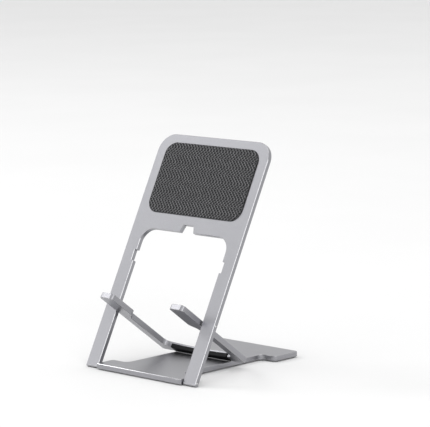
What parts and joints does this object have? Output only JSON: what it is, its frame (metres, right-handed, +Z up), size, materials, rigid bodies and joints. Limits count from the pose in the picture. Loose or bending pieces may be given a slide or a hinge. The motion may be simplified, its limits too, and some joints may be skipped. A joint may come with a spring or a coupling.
{
  "type": "phone stand",
  "caption": "Folding X-frame phone stand: flat base plate, leaning back plate with a woven pad and window, and a pivoting U bracket that cradles the phone.",
  "frame": {"origin": "on the table, under the middle of the base plate's footprint", "axes": "+X to the user's right, +Y to the back, +Z up"},
  "size_m": [0.08, 0.093, 0.1197],
  "materials": {
    "satin_aluminium": "fine bead-blasted and clear anodised, with polished chamfers",
    "woven_fabric": "charcoal herringbone weave",
    "adhesive_foam": "thin black foam tape",
    "black_silicone": "matt black silicone",
    "pin_steel": "ground steel",
    "bearing_polymer": "dark grey acetal"
  },
  "bodies": {
    "base": {"base_plate": "satin_aluminium", "front_foot_pad": "black_silicone", "rear_foot_pad": "black_silicone", "base_bush_left": "bearing_polymer", "base_bush_right": "bearing_polymer", "base_washer_left": "bearing_polymer", "base_washer_right": "bearing_polymer"},
    "back": {"back_plate": "satin_aluminium", "pad_backing": "adhesive_foam", "fabric_pad": "woven_fabric", "base_pin_left": "pin_steel", "base_pin_right": "pin_steel", "pivot_pin_left": "pin_steel", "pivot_pin_right": "pin_steel"},
    "cradle": {"bracket": "satin_aluminium", "bracket_bumper": "black_silicone", "cradle_pad_left": "black_silicone", "cradle_pad_right": "black_silicone", "pivot_bush_left": "bearing_polymer", "pivot_bush_right": "bearing_polymer", "pivot_washer_left": "bearing_polymer", "pivot_washer_right": "bearing_polymer", "pivot_spring_left": "pin_steel", "pivot_spring_right": "pin_steel"}
  },
  "joints": [
    {"name": "plate_fold", "type": "hinge", "parent": "base", "child": "back", "pos_m": [0, -0.04345, 0.00195], "axis": [1, 0, 0], "range_deg": [-59.6, 0]},
    {"name": "bracket_fold", "type": "hinge", "parent": "back", "child": "cradle", "pos_m": [0, -0.02914, 0.02956], "axis": [1, 0, 0], "range_deg": [0, 99.2]}
  ],
  "couplings": [
    {"joint": "bracket_fold", "follows": "plate_fold", "ratio": -1.6628}
  ]
}
